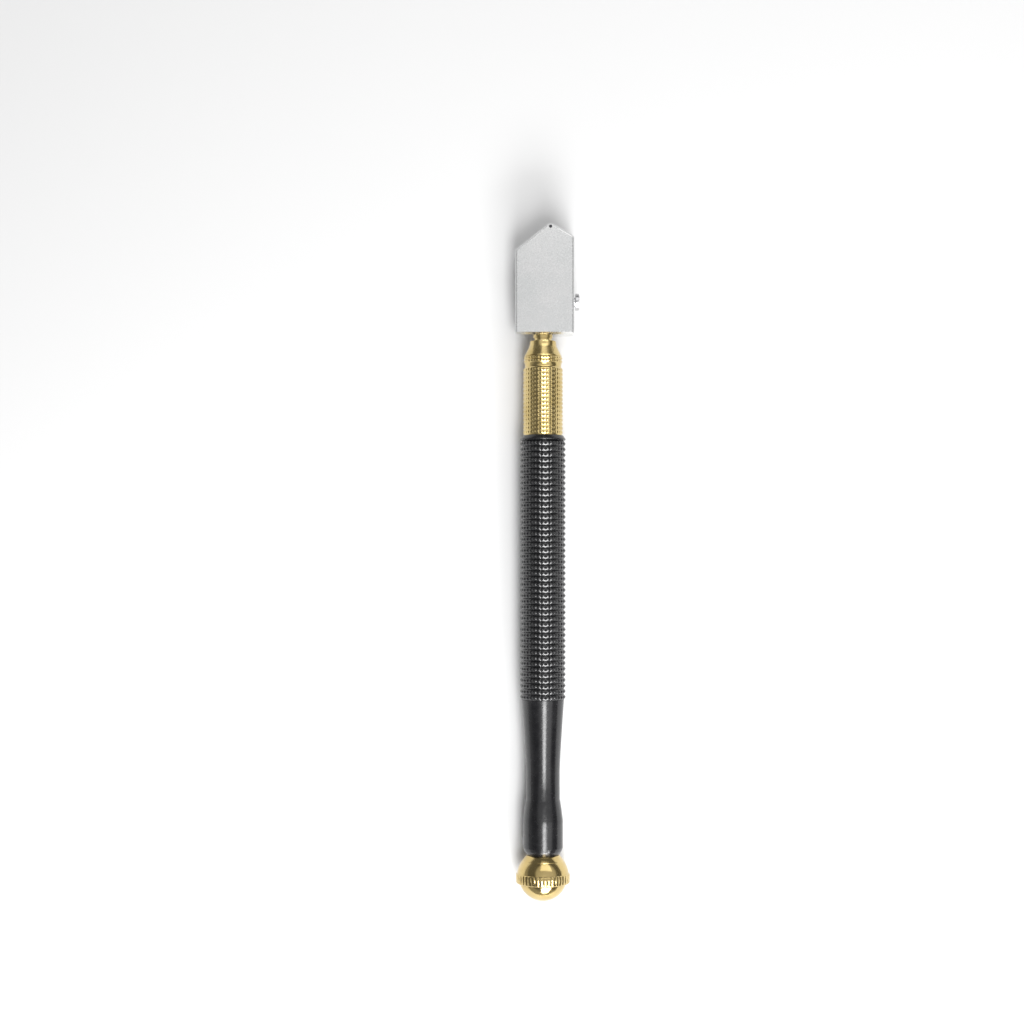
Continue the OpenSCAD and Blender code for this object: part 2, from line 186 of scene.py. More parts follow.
def new_piece(name, vertices, faces, crease=SHARP):
    """An object from a list of points and faces, smooth but for its sharp edges."""
    mesh = bpy.data.meshes.new(name)
    mesh.from_pydata(vertices, [], faces)
    mesh.validate()
    mesh.polygons.foreach_set("use_smooth", [True] * len(mesh.polygons))
    mesh.set_sharp_from_angle(angle=crease)
    piece = bpy.data.objects.new(name, mesh)
    bpy.context.scene.collection.objects.link(piece)
    return piece


def column_angles(columns):
    """The angle of each column of points round a turned piece."""
    return np.arange(columns) * TURN / columns


def turned(name, rows, columns, place=None, hollow=False, crease=SHARP):
    """A piece turned about the handle's axis, or about the Y axis of place.

    Each row is (y, radius), and its radius may be an array with one value for each
    column. A hollow piece's last row joins its first. Otherwise both ends close.
    """
    place = place or Matrix.Translation(AXIS)
    angles = column_angles(columns)
    across = np.cos(angles)
    up = np.sin(angles)
    rings = [np.stack([across * r, np.full(columns, y), up * r], axis=1) for y, r in rows]
    points = np.concatenate(rings)
    count = len(rows)
    walls = count if hollow else count - 1
    columns_at = np.arange(columns)
    next_at = (columns_at + 1) % columns
    faces = []
    for i in range(walls):
        a = i * columns
        b = ((i + 1) % count) * columns
        quads = np.stack([a + columns_at, b + columns_at, b + next_at, a + next_at], axis=1)
        faces.extend(quads.tolist())
    if not hollow:
        faces.append(columns_at.tolist())
        faces.append((columns_at[::-1] + (count - 1) * columns).tolist())
    matrix = np.array(place)
    points = points @ matrix[:3, :3].T + matrix[:3, 3]
    return new_piece(name, points.tolist(), faces, crease)


def knurl(low, high, rows, beads, crest, row_depth, bead_depth, steps, columns, bend):
    """Rows of rounded beads, cut apart by grooves round the piece and along it.

    Each row is drawn in steps. A larger bend gives flatter beads and sharper grooves.
    """
    meeting = 4
    part = column_angles(columns) / TURN * beads % 1
    across = bead_depth * np.abs(2 * part - 1) ** bend
    result = []
    for k in range(rows * steps + 1):
        down = row_depth * abs(2 * (k / steps % 1) - 1) ** bend
        dip = (across ** meeting + down ** meeting) ** (1 / meeting)
        result.append((low + (high - low) * k / (rows * steps), crest - dip))
    return result


def thread(start, end, pitch, crest, depth, columns, steps=8):
    """A screw thread between two places; a negative depth cuts into a bore's wall.

    Each turn is drawn in steps, and the groove fades out at both ends.
    """
    fade = 1.5 * pitch
    flank_slope = 1.6
    crest_flat = 0.3
    count = max(steps, round(abs(end - start) / pitch * steps))
    part = column_angles(columns) / TURN
    result = []
    for k in range(count + 1):
        y = start + (end - start) * k / count
        wave = np.abs(2 * ((y / pitch - part) % 1) - 1)
        strength = min(1, abs(y - start) / fade, abs(y - end) / fade)
        groove = np.clip(flank_slope * wave - crest_flat, 0, 1)
        result.append((y, crest - depth * strength * groove))
    return result


def placed_along(start, end):
    """The matrix that lays the Y axis along the line from one point to another."""
    lean = Vector((0, 1, 0)).rotation_difference(end - start).to_matrix().to_4x4()
    return Matrix.Translation(start) @ lean


def cut(piece, *cutters):
    """Takes the cutters away from a piece, and removes them."""
    for cutter in cutters:
        modifier = piece.modifiers.new("cut", "BOOLEAN")
        modifier.object = cutter
        modifier.operation = "DIFFERENCE"
        modifier.solver = "EXACT"
    bpy.context.view_layer.update()
    final = piece.evaluated_get(bpy.context.evaluated_depsgraph_get())
    mesh = bpy.data.meshes.new_from_object(final)
    piece.modifiers.clear()
    piece.data = mesh
    for cutter in cutters:
        bpy.data.objects.remove(cutter)
    mesh.polygons.foreach_set("use_smooth", [True] * len(mesh.polygons))
    mesh.set_sharp_from_angle(angle=CUT_SHARP)


def box_cutter(low, high):
    """A box between two corners."""
    corners = [
        (x, y, z)
        for x in (low[0], high[0])
        for y in (low[1], high[1])
        for z in (low[2], high[2])
    ]
    faces = [(0, 1, 3, 2), (4, 6, 7, 5), (0, 4, 5, 1), (2, 3, 7, 6), (0, 2, 6, 4), (1, 5, 7, 3)]
    return new_piece("cutter", corners, faces)


def foot_cutter(face_z, height, depth, side):
    """A long wedge that bevels the head's bottom edge, on its wide face at face_z.

    The bevel reaches height up the wide face and depth into the bottom; side is 1 for
    the upper face and -1 for the lower one.
    """
    outline = [
        (HEAD_LOW.y + 2 * height, face_z + side * depth),
        (HEAD_LOW.y - height, face_z + side * depth),
        (HEAD_LOW.y - height, face_z - side * 2 * depth),
    ]
    points = [(x, *at) for x in (HEAD_LOW.x - OVER, HEAD_HIGH.x + OVER) for at in outline]
    faces = [(0, 1, 2), (5, 4, 3), (0, 3, 4, 1), (1, 4, 5, 2), (2, 5, 3, 0)]
    if side > 0:
        faces = [face[::-1] for face in faces]
    return new_piece("cutter", points, faces)


def bar_cutter(r, start, end, columns=64):
    """A round bar between two points."""
    rows = [(0, r), ((end - start).length, r)]
    return turned("cutter", rows, columns, placed_along(start, end))


# ---------------------------------------------------------------- materials

# Most of a noise's values lie in this range
NOISE_RANGE = (0.3, 0.7)
NONE_TO_ALL = (0, 1)


class Finish:
    """A procedural material, with short calls for the nodes that it is made of."""

    def __init__(self, name):
        self.material = bpy.data.materials.new(name)
        self.material.use_nodes = True
        self.tree = self.material.node_tree
        self.shader = self.tree.nodes["Principled BSDF"]
        self.place = self.tree.nodes.new("ShaderNodeTexCoord").outputs["Object"]

    def node(self, kind, **values):
        """A new node with some of its settings."""
        made = self.tree.nodes.new(kind)
        for key, value in values.items():
            setattr(made, key, value)
        return made

    def link(self, source, target):
        """Joins one node's output to another's input."""
        self.tree.links.new(source, target)

    def noise(self, scale, detail, stretch=(1, 1, 1)):
        """Noise whose grains are 1/scale metres, smaller along each stretched axis."""
        mapping = self.node("ShaderNodeMapping")
        mapping.inputs["Scale"].default_value = stretch
        self.link(self.place, mapping.inputs["Vector"])
        texture = self.node("ShaderNodeTexNoise")
        texture.inputs["Scale"].default_value = scale
        texture.inputs["Detail"].default_value = detail
        self.link(mapping.outputs["Vector"], texture.inputs["Vector"])
        return texture.outputs["Fac"]

    def spread(self, source, old, new):
        """The source, with its old range, a pair of values, carried to a new one."""
        made = self.node("ShaderNodeMapRange")
        for key, value in zip(("From Min", "From Max", "To Min", "To Max"), (*old, *new)):
            made.inputs[key].default_value = value
        self.link(source, made.inputs["Value"])
        return made.outputs["Result"]

    def uneven(self, noise, low, high):
        """A value that a noise moves between low and high."""
        return self.spread(noise, NOISE_RANGE, (low, high))

    def mix(self, factor, first, second):
        """Two colours mixed by a factor; each is a colour or another node's output."""
        made = self.node("ShaderNodeMix", data_type="RGBA")
        # A mix node's colour sockets follow those for numbers and for vectors
        colours_in = made.inputs[6:8]
        colour_out = made.outputs[2]
        self.link(factor, made.inputs["Factor"])
        for socket, value in zip(colours_in, (first, second)):
            if isinstance(value, bpy.types.NodeSocket):
                self.link(value, socket)
            else:
                socket.default_value = (*value, 1)
        return colour_out

    def ridges(self, low, high):
        """1 on outer edges and 0 elsewhere; 1 in hollows where low is above high."""
        geometry = self.node("ShaderNodeNewGeometry")
        return self.spread(geometry.outputs["Pointiness"], (low, high), NONE_TO_ALL)

    def bump(self, *layers):
        """Bumps on top of each other, each (height, strength, depth in metres)."""
        normal = None
        for height, strength, depth in layers:
            made = self.node("ShaderNodeBump")
            made.inputs["Strength"].default_value = strength
            made.inputs["Distance"].default_value = depth
            self.link(height, made.inputs["Height"])
            if normal:
                self.link(normal, made.inputs["Normal"])
            normal = made.outputs["Normal"]
        self.link(normal, self.shader.inputs["Normal"])

    def set(self, **values):
        """Constants or outputs for the shader's own sockets, named with underscores."""
        for key, value in values.items():
            socket = self.shader.inputs[key.replace("_", " ")]
            if isinstance(value, bpy.types.NodeSocket):
                self.link(value, socket)
            elif isinstance(value, tuple):
                socket.default_value = (*value, 1)
            else:
                socket.default_value = value


def brass(name, tone, tarnish, hollow_shade, roughness):
    """Turned brass: fine lathe lines, patches of tarnish, and painted shade that darkens the hollows.
    """
    finish = Finish(name)
    patches = finish.noise(scale=220, detail=4)
    tarnished = finish.spread(patches, (0.45, 0.75), (0, 0.8))
    # Painted shade: the hollows that the mesh's pointiness finds are darkened towards a shade colour
    hollow = finish.spread(finish.ridges(0.495, 0.42), NONE_TO_ALL, (0, 0.85))
    colour = finish.mix(hollow, finish.mix(tarnished, tone, tarnish), hollow_shade)
    smudges = finish.noise(scale=700, detail=5)
    lathe = finish.noise(scale=1, detail=2, stretch=(300, 9000, 300))
    grain = finish.noise(scale=6000, detail=2)
    finish.bump((lathe, 0.10, 0.02 * MM), (grain, 0.05, 0.01 * MM))
    finish.set(Base_Color=colour, Metallic=1.0, Roughness=finish.uneven(smudges, *roughness))
    finish.set(Coat_Weight=0.2, Coat_Roughness=0.12)
    return finish.material


def satin_nickel():
    """Tumbled and plated die casting: an even grain, soft scratches, brighter edges."""
    plate = (0.80, 0.80, 0.80)
    dull_plate = (0.75, 0.76, 0.76)
    rubbed_plate = (0.86, 0.86, 0.85)
    finish = Finish("satin_nickel")
    clouds = finish.noise(scale=160, detail=4)
    dulled = finish.spread(clouds, (0.35, 0.7), NONE_TO_ALL)
    colour = finish.mix(dulled, plate, dull_plate)
    colour = finish.mix(finish.ridges(0.53, 0.62), colour, rubbed_plate)
    grain = finish.noise(scale=4200, detail=3)
    scratches = finish.noise(scale=260, detail=3, stretch=(6, 0.5, 1))
    finish.bump((grain, 0.16, 0.03 * MM), (scratches, 0.05, 0.03 * MM))
    finish.set(Base_Color=colour, Metallic=1.0, Roughness=finish.uneven(grain, 0.21, 0.29))
    return finish.material


def black_plate():
    """Glossy black plating, worn a little greyer on its edges and crests."""
    black = (0.004, 0.004, 0.005)
    faded_black = (0.009, 0.009, 0.010)
    worn_black = (0.06, 0.06, 0.062)
    finish = Finish("black_plate")
    clouds = finish.noise(scale=300, detail=4)
    faded = finish.spread(clouds, (0.4, 0.7), NONE_TO_ALL)
    wear = finish.noise(scale=900, detail=4)
    worn = finish.node("ShaderNodeMath", operation="MULTIPLY")
    finish.link(finish.ridges(0.52, 0.64), worn.inputs[0])
    finish.link(finish.spread(wear, (0.42, 0.62), NONE_TO_ALL), worn.inputs[1])
    colour = finish.mix(worn.outputs[0], finish.mix(faded, black, faded_black), worn_black)
    smudges = finish.noise(scale=1100, detail=5)
    lathe = finish.noise(scale=1, detail=2, stretch=(300, 7000, 300))
    grain = finish.noise(scale=5200, detail=3)
    finish.bump((lathe, 0.08, 0.02 * MM), (grain, 0.10, 0.02 * MM))
    finish.set(Base_Color=colour, Metallic=0.0, Roughness=finish.uneven(smudges, 0.18, 0.29))
    finish.set(IOR=1.62)
    return finish.material


def steel(name, tone, rough_low, rough_high):
    """Machined steel with fine marks and a slightly uneven shine."""
    shade = 0.72
    finish = Finish(name)
    colour = finish.mix(finish.noise(scale=900, detail=4), tone, tuple(shade * c for c in tone))
    roughness = finish.uneven(finish.noise(scale=2600, detail=4), rough_low, rough_high)
    finish.bump((finish.noise(scale=9000, detail=2), 0.10, 0.01 * MM))
    finish.set(Base_Color=colour, Metallic=1.0, Roughness=roughness)
    return finish.material


def rubber():
    """Black nitrile rubber with a dull, faintly mottled skin."""
    fresh = (0.010, 0.010, 0.010)
    dusty = (0.028, 0.027, 0.026)
    finish = Finish("rubber")
    colour = finish.mix(finish.noise(scale=1500, detail=3), fresh, dusty)
    roughness = finish.uneven(finish.noise(scale=3000, detail=3), 0.42, 0.62)
    finish.bump((finish.noise(scale=7000, detail=3), 0.25, 0.02 * MM))
    finish.set(Base_Color=colour, Roughness=roughness)
    return finish.material


def felt():
    """Wool felt, damp with cutting oil: fibres and darker blotches."""
    wool = (0.80, 0.75, 0.60)
    oily_wool = (0.56, 0.49, 0.33)
    finish = Finish("felt")
    fibres = finish.noise(scale=5000, detail=6, stretch=(1, 0.25, 1))
    colour = finish.mix(finish.noise(scale=1200, detail=4), wool, oily_wool)
    finish.bump((fibres, 0.8, 0.08 * MM))
    finish.set(Base_Color=colour, Roughness=0.92, Sheen_Weight=0.4, Sheen_Roughness=0.5)
    return finish.material


MATERIALS = {
    "brass": brass(
        "brass",
        tone=(0.67, 0.52, 0.23),
        tarnish=(0.52, 0.38, 0.13),
        # painted shade for the hollows
        hollow_shade=(0.32, 0.21, 0.05),
        roughness=(0.15, 0.26),
    ),
    "polished_brass": brass(
        "polished_brass",
        tone=(0.60, 0.46, 0.20),
        tarnish=(0.42, 0.30, 0.10),
        # painted shade for the hollows
        hollow_shade=(0.28, 0.19, 0.05),
        roughness=(0.10, 0.20),
    ),
    "satin_nickel": satin_nickel(),
    "black_plate": black_plate(),
    "steel": steel("steel", (0.60, 0.60, 0.61), 0.20, 0.34),
    "carbide": steel("carbide", (0.36, 0.37, 0.39), 0.12, 0.24),
    "rubber": rubber(),
    "felt": felt(),
}

# The axle's own finish, in the steel slot
BLUED_STEEL = steel("blued_steel", (0.10, 0.10, 0.11), 0.30, 0.45)


def finish_piece(piece, slot):
    """Gives a piece the finish of one of the record's material slots."""
    piece.data.materials.clear()
    piece.data.materials.append(MATERIALS[slot])


def stand_in(piece, node, body, slot):
    """Puts a finished piece in a CAD node's place."""
    finish_piece(piece, slot)
    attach(piece, body)
    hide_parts(node)


# ---------------------------------------------------------------- handle

def grip_barrel():
    """The black barrel: bevelled skirt, waist, beaded grip and both threaded bores."""
    beads = 30
    rows = 46
    steps = 8
    columns = beads * steps
    skirt_r = 5.11 * MM
    waist_r = 4.30 * MM
    flank_r = 5.40 * MM
    lip_r = 5.15 * MM
    bevel_l = 1.1 * MM
    bevel_depth = 0.26 * MM
    lip_l = 0.9 * MM
    crest_l = 0.25 * MM
    skirt_low = BARREL_REAR + 1.9 * MM
    flare_low = skirt_low + 6.9 * MM
    skirt_top = flare_low - 1.0 * MM
    waist_low = flare_low + 5.4 * MM
    flank_low = waist_low + 7.0 * MM
    grip_low = flank_low + 18.4 * MM
    grip_top = BARREL_FRONT - 1.4 * MM
    seal_floor = BARREL_FRONT - SEAL_BORE_L
    ferrule_floor = BARREL_FRONT - FERRULE_BORE_L
    cap_floor = BARREL_REAR + CAP_BORE_L
    row_depth = 0.48 * MM
    bead_depth = 0.24 * MM
    gap = 0.02 * MM
    plain_l = 0.1 * MM

    def swell(waist_y, end_y, end_r, bend):
        """The curve from the waist out to a wider end."""
        swell_steps = 14
        parts = [k / swell_steps for k in range(swell_steps + 1)]
        return [
            (waist_y + (end_y - waist_y) * k / swell_steps, waist_r + (end_r - waist_r) * part ** bend)
            for k, part in enumerate(parts)
        ]

    rear = rounded([
        (BARREL_REAR, CAP_BORE_R),
        (BARREL_REAR, REAR_FACE_R),
        (BARREL_REAR + bevel_l, skirt_r - bevel_depth),
        (skirt_low, skirt_r),
        (skirt_top, skirt_r),
    ], 0.10 * MM)
    front = rounded([
        (grip_top, BARREL_R - row_depth),
        (grip_top + crest_l, BARREL_R),
        (BARREL_FRONT - lip_l, BARREL_R),
        (BARREL_FRONT, lip_r),
        (BARREL_FRONT, SEAL_BORE_R),
        (seal_floor, SEAL_BORE_R),
        (seal_floor, FERRULE_BORE_R),
    ], 0.12 * MM)
    outline = (
        rear
        + swell(waist_low, flare_low, skirt_r, bend=0.8)[::-1]
        + swell(flank_low, grip_low, flank_r, bend=1.2)
        + knurl(grip_low + gap, grip_top - gap, rows, beads, BARREL_R, row_depth, bead_depth,
                steps, columns, bend=1.25)
        + front
        + thread(seal_floor - plain_l, ferrule_floor, FERRULE_THREAD_PITCH, FERRULE_BORE_R,
                 -FERRULE_THREAD_DEPTH, columns)
        + [(ferrule_floor, RESERVOIR_R), (cap_floor, RESERVOIR_R)]
        + thread(cap_floor, BARREL_REAR + plain_l, CAP_THREAD_PITCH, CAP_BORE_R,
                 -CAP_THREAD_DEPTH, columns)
    )
    stand_in(turned("barrel", outline, columns, hollow=True), "grip_barrel", "handle", "black_plate")


def front_ferrule():
    """The brass ferrule: fine knurl, cove, two bead rows, cone and short nose."""
    beads = 32
    steps = 8
    columns = beads * steps
    fine_rows = 16
    bead_rows = 2
    bend = 1.5
    cove_steps = 10
    nose_r = 3.38 * MM
    nose_l = 1.25 * MM
    rim_r = 4.72 * MM
    cone_l = 2.45 * MM
    bore_r = 2.25 * MM
    chamber_r = 2.70 * MM
    guide_l = 6.0 * MM
    thread_r = FERRULE_BORE_R - THREAD_GAP
    fine_depth = 0.17 * MM
    bead_crest = FERRULE_R - 0.13 * MM
    bead_depth = 0.24 * MM
    lengthwise_depth = 0.12 * MM
    cove_r = FERRULE_R - 0.44 * MM
    seat_r = FERRULE_R - 0.17 * MM
    cove_end_r = seat_r - 0.1 * MM
    guide_low = FERRULE_FRONT - guide_l
    cone_top = FERRULE_FRONT - nose_l
    cone_low = cone_top - cone_l
    bead_top = cone_low - 0.35 * MM
    bead_low = bead_top - 1.65 * MM
    fine_top = bead_low - 1.30 * MM
    fine_low = BARREL_FRONT + 0.22 * MM
    bevel = 0.15 * MM
    lead_l = 0.3 * MM
    lead_depth = 0.2 * MM
    seat_l = 0.2 * MM
    relief_l = 1.0 * MM
    thread_low = FERRULE_REAR + 0.4 * MM
    thread_top = BARREL_FRONT - 1.1 * MM

    spigot = rounded([
        (FERRULE_REAR, chamber_r),
        (FERRULE_REAR, thread_r - lead_depth),
        (FERRULE_REAR + lead_l, thread_r),
    ], 0.05 * MM)
    relief = rounded([
        (BARREL_FRONT - relief_l, thread_r),
        (BARREL_FRONT, thread_r),
        (BARREL_FRONT, seat_r),
        (BARREL_FRONT + seat_l, seat_r),
    ], 0.04 * MM)
    cove = [
        (fine_top + (bead_low - fine_top) * k / cove_steps,
         cove_r + (cove_end_r - cove_r) * (2 * k / cove_steps - 1) ** 2)
        for k in range(1, cove_steps)
    ]
    nose_points = [
        (bead_top + 0.02 * MM, bead_crest - bead_depth),
        (bead_top + 0.08 * MM, rim_r + 0.06 * MM),
        (cone_low, rim_r),
        (cone_top, nose_r + 0.08 * MM),
        (FERRULE_FRONT - bevel, nose_r),
        (FERRULE_FRONT, nose_r - 0.20 * MM),
        (FERRULE_FRONT, bore_r + bevel),
        (FERRULE_FRONT - bevel, bore_r),
        (guide_low, bore_r),
        (guide_low, chamber_r),
        (FERRULE_REAR + 0.5 * MM, chamber_r),
    ]
    rim_rounds = [0, 0.04 * MM, 0.12 * MM, 2.2 * MM]
    other_rounds = [0.08 * MM] * (len(nose_points) - len(rim_rounds))
    nose = rounded(nose_points, rim_rounds + other_rounds, 5)
    outline = (
        spigot
        + thread(thread_low, thread_top, FERRULE_THREAD_PITCH, thread_r, FERRULE_THREAD_DEPTH, columns)
        + relief
        + knurl(fine_low, fine_top, fine_rows, beads, FERRULE_R, fine_depth, lengthwise_depth,
                steps, columns, bend)
        + cove
        + knurl(bead_low, bead_top, bead_rows, beads, bead_crest, bead_depth, lengthwise_depth,
                steps, columns, bend)
        + nose
    )
    stand_in(turned("ferrule", outline, columns, hollow=True), "front_ferrule", "handle", "brass")


def ball_cap():
    """The ball cap: two domes, a grooved band, a coned collar and a screw thread."""
    grooves = 40
    columns = grooves * 6
    lower_r = 6.25 * MM
    upper_r = 6.70 * MM
    centre = BALL_END + lower_r
    band_low = centre - 1.638 * MM
    band_top = band_low + 2.6 * MM
    collar_r = 5.32 * MM
    collar_l = 0.10 * MM
    collar_low = centre + math.sqrt(upper_r ** 2 - collar_r ** 2)
    gap = 0.02 * MM
    face = BARREL_REAR - gap
    thread_r = CAP_BORE_R - THREAD_GAP
    undercut_r = 2.60 * MM
    undercut_top = face + 0.96 * MM
    lead_l = 0.3 * MM
    thread_low = undercut_top + 0.4 * MM
    thread_top = CAP_TOP - 0.5 * MM
    groove_depth = 0.12 * MM
    edge = 0.28 * MM
    pole_gap = 0.0005 * MM
    tip_r = 0.02 * MM
    part = column_angles(columns) / TURN * grooves % 1
    grooved = groove_depth * np.abs(2 * part - 1) ** 3
    band_face = BAND_R - grooved
    band_edge = BAND_R - 0.45 * edge - 0.5 * grooved
    edge_l = 0.35 * edge

    band = [
        (band_low, BAND_R - edge),
        (band_low + edge_l, band_edge),
        (band_low + edge, band_face),
        ((band_low + band_top) / 2, band_face),
        (band_top - edge, band_face),
        (band_top - edge_l, band_edge),
    ]
    neck = rounded([
        (collar_low, collar_r),
        (collar_low + collar_l, collar_r + gap),
        (face, REAR_FACE_R + gap),
        (face, undercut_r),
        (undercut_top, undercut_r),
        (undercut_top, thread_r - 0.25 * MM),
        (undercut_top + lead_l, thread_r),
    ], 0.06 * MM)
    end = rounded([
        (CAP_TOP - 0.4 * MM, thread_r),
        (CAP_TOP, thread_r - 0.35 * MM),
        (CAP_TOP, tip_r),
    ], 0.05 * MM)
    outline = (
        arc(centre, lower_r, BALL_END + pole_gap, band_low, 26)
        + band
        + arc(centre, upper_r, band_top, collar_low, 18)
        + neck
        + thread(thread_low, thread_top, CAP_THREAD_PITCH, thread_r, CAP_THREAD_DEPTH, columns)
        + end
    )
    stand_in(turned("cap", outline, columns), "ball_cap", "cap", "polished_brass")


def valve_spring():
    """The round wire spring: its first and last turns lie close together."""
    turns = 8
    per_turn = 40
    sides = 12
    wire_r = 0.225 * MM
    end_gap = 0.05 * MM
    low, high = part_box("valve_spring")
    coil_r = (high.x - low.x) / 2 - wire_r
    start = low.y + wire_r
    rise = high.y - low.y - 2 * wire_r
    end_rise = 2 * wire_r + end_gap
    free_rise = (rise - 2 * end_rise) / (turns - 2)

    def height(turned_by):
        """How far along the axis the wire is after some turns."""
        first = min(turned_by, 1) * end_rise
        free = max(0, min(turned_by - 1, turns - 2)) * free_rise
        last = max(0, turned_by - turns + 1) * end_rise
        return start + first + free + last

    rings = turns * per_turn
    points = []
    for i in range(rings + 1):
        turned_by = i / per_turn
        angle = turned_by * TURN
        for k in range(sides):
            side = k * TURN / sides
            r = coil_r + wire_r * math.cos(side)
            points.append((AXIS.x + r * math.cos(angle),
                           height(turned_by) + wire_r * math.sin(side),
                           AXIS.z - r * math.sin(angle)))
    faces = []
    for i in range(rings):
        for k in range(sides):
            a = i * sides + k
            b = i * sides + (k + 1) % sides
            faces.append((a, a + sides, b + sides, b))
    faces.append(tuple(range(sides)))
    faces.append(tuple(rings * sides + k for k in reversed(range(sides))))
    spring = new_piece("spring", points, faces)
    stand_in(spring, "valve_spring", "handle", "steel")
    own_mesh(spring)


def seal_ring(name, node, body, section_r):
    """A rubber ring of round section in a CAD ring's place."""
    sides = 20
    columns = 96
    outer = size(node).x / 2
    centre = middle(node)
    rows = [
        (centre.y - section_r * math.cos(k * TURN / sides),
         outer - section_r + section_r * math.sin(k * TURN / sides))
        for k in range(sides)
    ]
    stand_in(turned(name, rows, columns, hollow=True), node, body, "rubber")


# ---------------------------------------------------------------- head

def drawn_in(corners, distance):
    """The outline with each side moved inwards."""
    count = len(corners)
    sides = []
    for i in range(count):
        start = Vector(corners[i - 1])
        along = (Vector(corners[i]) - start).normalized()
        inward = Vector((-along.y, along.x))
        sides.append((start + inward * distance, along))
    result = []
    for i in range(count):
        start, along = sides[i]
        other, way = sides[(i + 1) % count]
        gap = other - start
        reach = (gap.x * way.y - gap.y * way.x) / (along.x * way.y - along.y * way.x)
        result.append(tuple(start + along * reach))
    return result


def head_outline(inset):
    """The head's outline seen from above, drawn in by inset, with rounded corners."""
    half_flat = 0.5 * MM
    plain_y = HEAD_HIGH.y - 6.75 * MM
    screw_y = HEAD_HIGH.y - 3.15 * MM
    foot_round = 0.60 * MM
    screw_round = 0.9 * MM
    tip_round = 0.7 * MM
    plain_round = 1.0 * MM
    corners = [
        (HEAD_LOW.x, HEAD_LOW.y),
        (HEAD_HIGH.x, HEAD_LOW.y),
        (HEAD_HIGH.x, screw_y),
        (WHEEL.x + half_flat, HEAD_HIGH.y),
        (WHEEL.x - half_flat, HEAD_HIGH.y),
        (HEAD_LOW.x, plain_y),
    ]
    radii = [foot_round, foot_round, screw_round, tip_round, tip_round, plain_round]
    return rounded(drawn_in(corners, inset), [r - inset for r in radii], 6, closed=True)


def head_body():
    """The nickel head: rounded edges, saw slot, stem bore, oil way and drilled holes."""
    edge = 0.45 * MM
    foot_t = 0.85 * MM
    foot_h = 0.65 * foot_t
    soft = 0.12 * MM
    slot_half = 0.55 * MM
    bore_r = 2.05 * MM
    oil_r = 0.90 * MM
    screw_hole_r = 1.28 * MM
    mid_z = (HEAD_LOW.z + HEAD_HIGH.z) / 2
    half = (HEAD_HIGH.z - HEAD_LOW.z) / 2

    upper = rounded([(0, 0), (0, half - edge), (edge, half), (2 * edge, half)], soft, 4)[1:-1]
    layers = [(inset, mid_z - z) for inset, z in reversed(upper)]
    layers += [(inset, mid_z + z) for inset, z in upper]
    points = []
    for inset, z in layers:
        points += [(x, y, z) for x, y in head_outline(inset)]
    count = len(points) // len(layers)
    faces = [tuple(reversed(range(count))), tuple(range(len(points) - count, len(points)))]
    for i in range(len(layers) - 1):
        for k in range(count):
            a = i * count + k
            b = i * count + (k + 1) % count
            faces.append((a, b, b + count, a + count))
    head = new_piece("head", points, faces, CUT_SHARP)

    bore_low = Vector((AXIS.x, HEAD_LOW.y - OVER, AXIS.z))
    screw_low = Vector((AXIS.x, SCREW.y, SCREW.z))
    screw_high = Vector((HEAD_HIGH.x + OVER, SCREW.y, SCREW.z))
    through = Vector((0, 0, half + OVER))
    cut(
        head,
        foot_cutter(mid_z + half, foot_h, foot_t, 1),
        foot_cutter(mid_z - half, foot_h, foot_t, -1),
        box_cutter((HEAD_LOW.x - OVER, SLOT_FLOOR.y, AXIS.z - slot_half),
                   (HEAD_HIGH.x + OVER, HEAD_HIGH.y + OVER, AXIS.z + slot_half)),
        bar_cutter(bore_r, bore_low, BORE_TOP),
        bar_cutter(oil_r, BORE_TOP - OIL_WAY * OVER / 2, SLOT_FLOOR + OIL_WAY * OVER, 40),
        bar_cutter(screw_hole_r, screw_low, screw_high, 48),
        bar_cutter(AXLE_HOLE_R, WHEEL - through, WHEEL + through, 40),
    )
    stand_in(head, "head_body", "head", "satin_nickel")


def cutting_wheel():
    """The carbide wheel: two honed bevels that meet in the cutting edge."""
    r = size("cutting_wheel").x / 2
    half = size("cutting_wheel").z / 2
    land_r = r - 0.405 * MM
    bevel = 0.05 * MM
    hone_half = half * 0.30
    hone_r = r - 0.10 * MM
    rows = rounded([
        (-half, AXLE_HOLE_R + bevel),
        (-half, land_r - bevel),
        (-hone_half, hone_r),
        (0, r),
        (hone_half, hone_r),
        (half, land_r - bevel),
        (half, AXLE_HOLE_R + bevel),
        (half - bevel, AXLE_HOLE_R),
        (-half + bevel, AXLE_HOLE_R),
    ], 0.01 * MM, 1)
    wheel = turned("wheel", rows, 128, WHEEL_PLACE, hollow=True, crease=math.radians(12))
    stand_in(wheel, "cutting_wheel", "wheel", "carbide")


def wheel_axle():
    """The wheel's axle pin, with a small bevel at both ends."""
    half = size("wheel_axle").z / 2
    bevel = 0.08 * MM
    rows = rounded([
        (-half, TIP_R),
        (-half, AXLE_R - bevel),
        (-half + bevel, AXLE_R),
        (half - bevel, AXLE_R),
        (half, AXLE_R - bevel),
        (half, TIP_R),
    ], 0.02 * MM)
    axle = turned("axle", rows, 48, WHEEL_PLACE)
    stand_in(axle, "wheel_axle", "head", "steel")
    axle.data.materials[0] = BLUED_STEEL


